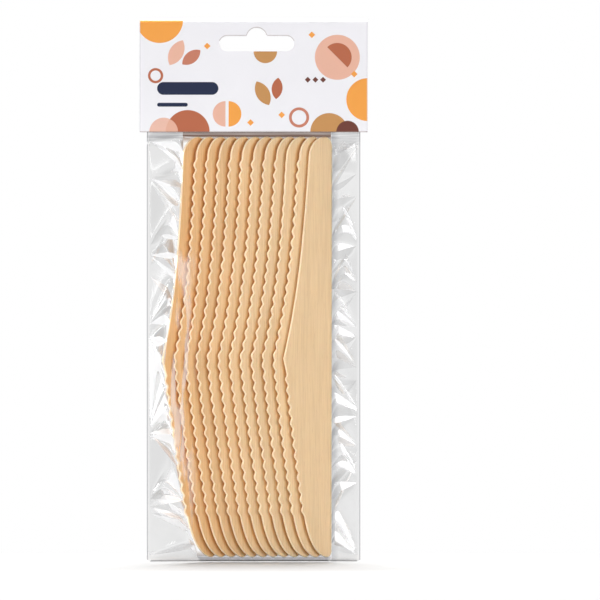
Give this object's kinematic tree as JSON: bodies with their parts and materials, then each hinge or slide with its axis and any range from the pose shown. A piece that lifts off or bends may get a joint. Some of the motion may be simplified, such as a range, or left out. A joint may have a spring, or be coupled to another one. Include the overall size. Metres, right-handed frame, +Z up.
{
  "type": "pack of wooden knives",
  "caption": "Clear hanging bag of flat birch table knives with toothed blades, closed by a folded white card header with a hang slot.",
  "frame": {"origin": "middle of the straight part of the hang slot, halfway between the card's two flaps", "axes": "+Z up as the pack hangs, -Y towards the viewer of its printed front, +X to that viewer's right"},
  "size_m": [0.0892, 0.0114, 0.2123],
  "materials": {
    "card": "smooth coated card",
    "film": "clear glossy film",
    "wood": "sanded, unvarnished"
  },
  "bodies": {
    "root": {"header_card": "card", "film_bag": "film", "knife_01": "wood", "knife_02": "wood", "knife_03": "wood", "knife_04": "wood", "knife_05": "wood", "knife_06": "wood", "knife_07": "wood", "knife_08": "wood", "knife_09": "wood", "knife_10": "wood", "knife_11": "wood", "knife_12": "wood"}
  },
  "joints": []
}
